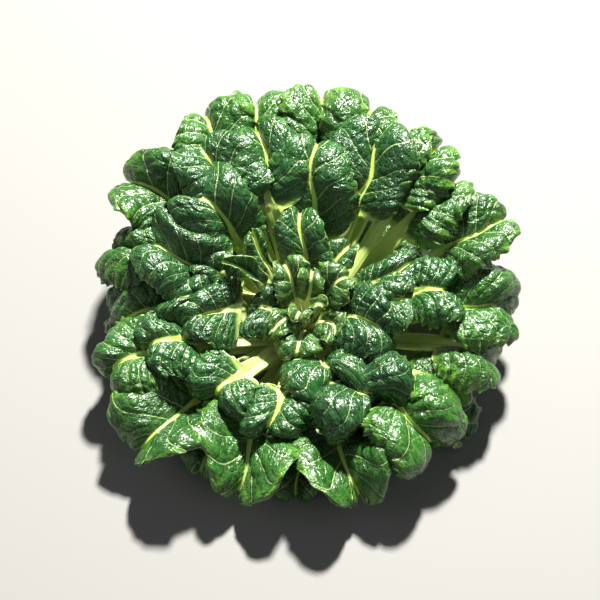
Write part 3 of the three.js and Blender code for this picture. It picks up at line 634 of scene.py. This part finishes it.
def leaf_material(name, dark, bright, old, vein, roughness):
    """Glossy green skin: pale midrib, side veins and net of small veins, yellow-green rim, pale
    petiole, and painted shade that darkens the creases beside the side veins; the net and the
    pores also stand as bumps."""
    n = Nodes(name)
    phase, blade, tb = n.field("phase"), n.field("blade"), n.field("tb")
    x, y, grain = n.field("xmm"), n.field("ymm"), n.field("grain")
    place = n.vector(n.math("ADD", x, grain), y, grain)
    bent = n.noise(place, 0.09)
    warped = n.vector(n.math("ADD", n.math("ADD", x, grain), n.math("MULTIPLY", bent, 5.0)),
                      n.math("ADD", y, n.math("MULTIPLY", bent, -4.0)), grain)
    from_mid = n.math("ABSOLUTE", x)
    rib_half = n.math("MULTIPLY_ADD", n.math("POWER", n.math("SUBTRACT", 1.0, tb), 2.4), n.field("stalk"), 0.3)
    rib = n.step(n.math("SUBTRACT", from_mid, rib_half), 0.0, 0.8, 1.0, 0.0)
    fork = n.math("ABSOLUTE", n.math("SUBTRACT", n.math("FRACT", n.math("ADD", phase, 0.5)), 0.5))
    taper = n.step(from_mid, 0.0, 24.0, 0.050, 0.018)
    grown = n.step(tb, 0.03, 0.2)
    side_vein = n.math("MULTIPLY", n.step(n.math("DIVIDE", fork, taper), 0.35, 1.0, 1.0, 0.0), grown)
    net = n.cells(warped, 0.23)
    fine = n.cells(warped, 0.62)
    net_line = n.math("MULTIPLY", n.step(net, 0.0, 0.055, 1.0, 0.0), grown)
    fine_line = n.math("MULTIPLY", n.step(fine, 0.0, 0.08, 1.0, 0.0), grown)
    edge = n.math("MINIMUM", n.field("rim"), n.field("ahead"))
    rim = n.math("MULTIPLY", n.step(edge, 0.3, 1.0, 1.0, 0.0), blade)
    near_rim = n.math("MULTIPLY", n.step(edge, 0.5, 12.0, 1.0, 0.0), n.field("age"))
    mottled = n.noise(place, 0.16, 4.0)
    green = n.mix(n.math("MULTIPLY_ADD", n.field("tone"), 0.4, n.math("MULTIPLY", mottled, 0.75)), dark, bright)
    green = n.mix(n.math("MULTIPLY", n.step(mottled, 0.3, 0.7), near_rim, clamp=True), green, old)
    # painted shade: the green is darkened towards the dark colour in the creases beside each side vein, where shade
    # falls
    painted_crease_shade = n.math("MULTIPLY", n.step(fork, 0.03, 0.20, 1.0, 0.0), grown)
    green = n.mix(n.math("MULTIPLY", painted_crease_shade, 0.6), green, dark)
    green = n.mix(n.math("MULTIPLY", fine_line, 0.10), green, old)
    green = n.mix(n.math("MULTIPLY", net_line, 0.13), green, vein)
    green = n.mix(n.math("MULTIPLY", side_vein, 0.85), green, vein)
    green = n.mix(n.math("MULTIPLY", rim, 0.7), green, vein)
    streak = n.noise(n.vector(n.math("MULTIPLY", x, 1.6), n.math("MULTIPLY", y, 0.06), grain), 1.0, 3.0)
    stalk = n.mix(n.step(y, 4.0, 70.0), (0.78, 0.83, 0.42), (0.52, 0.70, 0.16))
    stalk = n.mix(n.math("MULTIPLY", streak, 0.35), stalk, (0.40, 0.58, 0.10))
    wing = n.mix(n.step(tb, 0.0, 0.12), stalk, green)
    skin = n.mix(rib, wing, stalk)
    skin = n.mix(n.math("MULTIPLY", n.field("under"), n.math("MULTIPLY", blade, 0.45)), skin, (0.11, 0.26, 0.075))
    n.put(skin, n.shader.inputs["Base Color"])
    pale = n.math("MAXIMUM", rib, n.step(tb, 0.0, 0.12, 1.0, 0.0))
    rough = n.math("MULTIPLY_ADD", n.noise(place, 0.8), 0.16, roughness)
    n.put(n.math("MULTIPLY_ADD", pale, 0.10, rough), n.shader.inputs["Roughness"])
    swell = n.math("ADD", n.math("MULTIPLY", n.step(net, 0.0, 0.32), 0.62), n.math("MULTIPLY", n.step(fine, 0.0, 0.3), 0.28))
    swell = n.math("ADD", swell, n.math("MULTIPLY", n.noise(place, 1.6, 3.0), 0.35))
    swell = n.math("MULTIPLY", swell, n.math("MULTIPLY", grown, n.math("SUBTRACT", 1.0, rib)))
    grooves = n.math("MULTIPLY", streak, n.math("MULTIPLY", pale, 0.25))
    bump = n.new("ShaderNodeBump")
    bump.inputs["Strength"].default_value = 0.85
    bump.inputs["Distance"].default_value = 0.0009
    n.put(n.math("ADD", swell, grooves), bump.inputs["Height"])
    n.put(bump.outputs[0], n.shader.inputs["Normal"])
    n.shader.inputs["Specular IOR Level"].default_value = 0.6
    n.shader.inputs["Coat Weight"].default_value = 0.18
    n.shader.inputs["Coat Roughness"].default_value = 0.16
    return n.material


def crown_material():
    """Pale cut stump: cream with faint brown blotches, and a fine bumpy surface."""
    n = Nodes("crown")
    place = n.new("ShaderNodeTexCoord").outputs["Object"]
    blotch = n.noise(place, 160.0, 4.0)
    colour = n.mix(n.step(blotch, 0.35, 0.7), (0.66, 0.68, 0.42), (0.50, 0.46, 0.26))
    n.put(colour, n.shader.inputs["Base Color"])
    n.shader.inputs["Roughness"].default_value = 0.6
    bump = n.new("ShaderNodeBump")
    bump.inputs["Strength"].default_value = 0.4
    bump.inputs["Distance"].default_value = 0.0005
    n.put(n.noise(place, 700.0, 3.0), bump.inputs["Height"])
    n.put(bump.outputs[0], n.shader.inputs["Normal"])
    return n.material


def plain_material(name, colour, roughness):
    n = Nodes(name)
    n.shader.inputs["Base Color"].default_value = (*colour, 1)
    n.shader.inputs["Roughness"].default_value = roughness
    return n.material


# ---- floor, light and camera ---------------------------------------------------------------------
def add_light(name, place, aim, power, size, colour=(1, 1, 1)):
    data = bpy.data.lights.new(name, "AREA")
    data.energy, data.size, data.color = power, size, colour
    light = bpy.data.objects.new(name, data)
    bpy.context.scene.collection.objects.link(light)
    light.location = place
    light.rotation_euler = (Vector(aim) - Vector(place)).to_track_quat("-Z", "Y").to_euler()


def set_stage():
    """A pale floor, a small warm key from behind on the right, broad soft fills and a pale sky."""
    w = 2.5
    floor = new_mesh("floor", np.array([[-w, -w, 0], [w, -w, 0], [w, w, 0], [-w, w, 0]], float), np.array([[0, 1, 2, 3]]), False)
    floor.data.materials.append(plain_material("floor", (0.25, 0.247, 0.24), 0.7))
    world = bpy.data.worlds.new("sky")
    bpy.context.scene.world = world
    world.use_nodes = True
    world.node_tree.nodes["Background"].inputs[0].default_value = (0.86, 0.93, 1.0, 1)
    world.node_tree.nodes["Background"].inputs[1].default_value = 0.08
    add_light("key", (0.34, 1.36, 2.05), (0, 0, 0.05), 235, 0.20, (1.0, 0.98, 0.92))
    add_light("fill", (0.55, -0.75, 0.95), (0, 0, 0.04), 1.3, 1.0)
    add_light("side", (-0.95, -0.25, 0.75), (0, 0, 0.04), 1.3, 0.8)


def set_camera():
    """Looks down at the head from the front, 59 degrees above the floor."""
    low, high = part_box("crown_stump")
    foot = Vector(((low[0] + high[0]) / 2 - 0.0033, (low[1] + high[1]) / 2, low[2]))
    rise = math.radians(59)
    back = Vector((0, -math.cos(rise), math.sin(rise)))
    up = Vector((0, math.sin(rise), math.cos(rise)))
    data = bpy.data.cameras.new("camera")
    data.lens = 85
    camera = bpy.data.objects.new("camera", data)
    bpy.context.scene.collection.objects.link(camera)
    camera.location = foot + up * 0.0305 + back * 0.92
    camera.rotation_euler = (-back).to_track_quat("-Z", "Y").to_euler()
    bpy.context.scene.camera = camera
    bpy.context.scene.view_settings.view_transform = "Standard"


def main():
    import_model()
    skins = {
        "outer_leaf": leaf_material("outer_leaf", (0.005, 0.036, 0.007), (0.028, 0.132, 0.015), (0.14, 0.34, 0.035),
                                    (0.36, 0.54, 0.17), 0.21),
        "inner_leaf": leaf_material("inner_leaf", (0.003, 0.026, 0.009), (0.016, 0.092, 0.018), (0.08, 0.25, 0.03),
                                    (0.34, 0.52, 0.17), 0.19),
        "heart_leaf": leaf_material("heart_leaf", (0.005, 0.038, 0.008), (0.018, 0.095, 0.014), (0.20, 0.38, 0.05),
                                    (0.40, 0.56, 0.18), 0.22),
    }
    leaves = describe_leaves()
    dress(leaves)
    settle(leaves)
    for leaf in leaves:
        build_leaf(leaf, skins[leaf["slot"]])
    build_crown(crown_material())
    set_stage()
    set_camera()


main()
